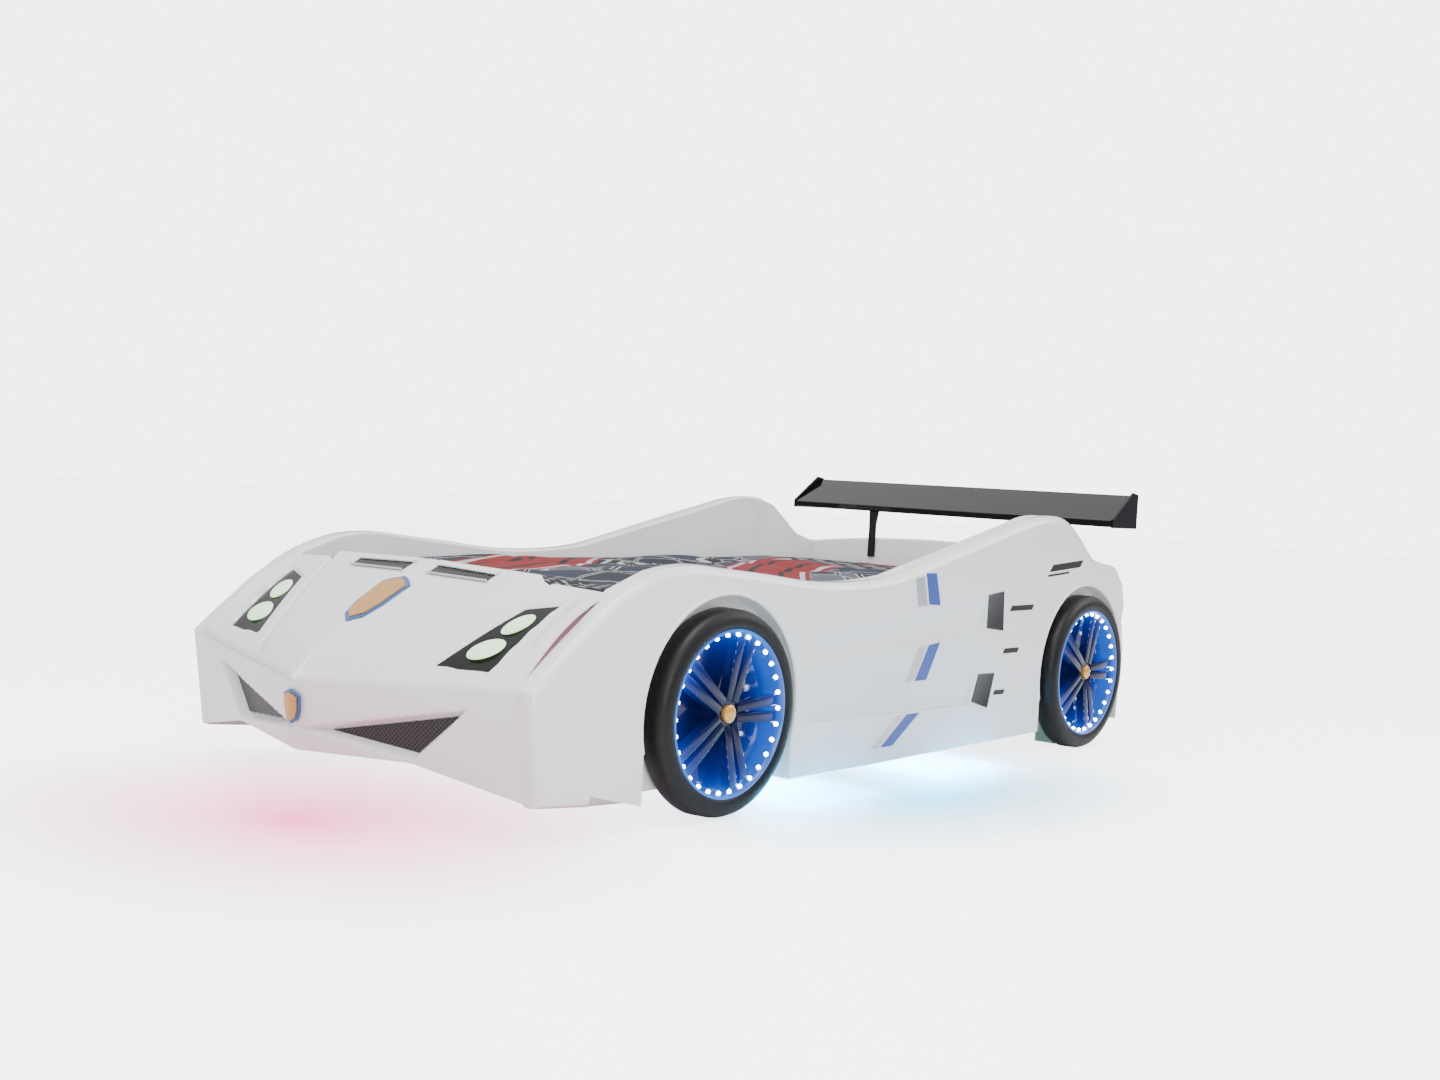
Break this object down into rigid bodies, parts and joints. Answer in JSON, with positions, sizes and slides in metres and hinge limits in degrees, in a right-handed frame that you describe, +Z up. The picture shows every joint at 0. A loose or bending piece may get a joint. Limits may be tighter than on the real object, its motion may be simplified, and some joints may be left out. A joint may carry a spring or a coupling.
{
  "type": "toddler bed",
  "caption": "Children's bed shaped as a racing car, with moulded side walls, display wheels, rear spoiler, lights and a lift-off mattress and quilt.",
  "frame": {"origin": "bottom centre of the whole bed's box, on the floor", "axes": "+Z up, length along Y with the nose towards -Y, symmetric about X = 0"},
  "size_m": [1.09, 2.312, 0.676],
  "materials": {
    "tyre_rubber": "moulded black display tyre, satin",
    "rim_paint": "gloss black moulded rim",
    "led_light": "white light strip",
    "cap_amber": "amber centre cap",
    "gloss_black": "high-gloss black panel",
    "black_trim": "satin black moulding",
    "lens_clear": "clear lamp cover",
    "badge_chrome": "bright plated badge",
    "plywood": "plywood deck boards",
    "timber": "planed softwood",
    "mattress_cloth": "white mattress ticking",
    "quilt_print": "printed navy quilt",
    "black_plastic": "black moulded plastic",
    "body_white": "high-gloss white moulded skin"
  },
  "bodies": {
    "bed": {"base_board_front": "plywood", "base_board_rear": "plywood", "bonnet_badge": "badge_chrome", "bonnet_vent_left": "black_trim", "bonnet_vent_right": "black_trim", "centre_beam": "timber", "control_box": "black_plastic", "foot_rail": "timber", "footboard_panel": "body_white", "front_fascia": "body_white", "head_rail": "timber", "headboard_panel": "body_white", "headlight_bezel_left": "black_trim", "headlight_bezel_right": "black_trim", "headlight_lens_left": "lens_clear", "headlight_lens_right": "lens_clear", "hub_cap_front_left": "cap_amber", "hub_cap_front_right": "cap_amber", "hub_cap_rear_left": "cap_amber", "hub_cap_rear_right": "cap_amber", "inner_liner_left": "body_white", "inner_liner_right": "body_white", "leg_centre": "timber", "leg_front_left": "timber", "leg_front_right": "timber", "leg_rear_left": "timber", "leg_rear_right": "timber", "light_ring_front_left": "led_light", "light_ring_front_right": "led_light", "light_ring_rear_left": "led_light", "light_ring_rear_right": "led_light", "lower_grille_left": "black_trim", "lower_grille_right": "black_trim", "nose_badge": "badge_chrome", "power_inlet": "black_plastic", "rim_front_left": "rim_paint", "rim_front_right": "rim_paint", "rim_rear_left": "rim_paint", "rim_rear_right": "rim_paint", "side_duct_left": "black_trim", "side_duct_right": "black_trim", "side_panel_left": "body_white", "side_panel_right": "body_white", "side_rail_left": "timber", "side_rail_right": "timber", "side_vent_left": "black_trim", "side_vent_right": "black_trim", "spoiler_end_left": "gloss_black", "spoiler_end_right": "gloss_black", "spoiler_strut_left": "gloss_black", "spoiler_strut_right": "gloss_black", "spoiler_wing": "gloss_black", "tail_panel": "body_white", "tyre_front_left": "tyre_rubber", "tyre_front_right": "tyre_rubber", "tyre_rear_left": "tyre_rubber", "tyre_rear_right": "tyre_rubber"},
    "mattress": {"mattress": "mattress_cloth"},
    "quilt": {"quilt": "quilt_print"}
  },
  "joints": [
    {"name": "mattress_lift", "type": "slide", "parent": "bed", "child": "mattress", "axis": [0, 0, 1], "range_m": [0, 0.25]},
    {"name": "quilt_lift", "type": "slide", "parent": "mattress", "child": "quilt", "axis": [0, 0, 1], "range_m": [0, 0.25]}
  ]
}
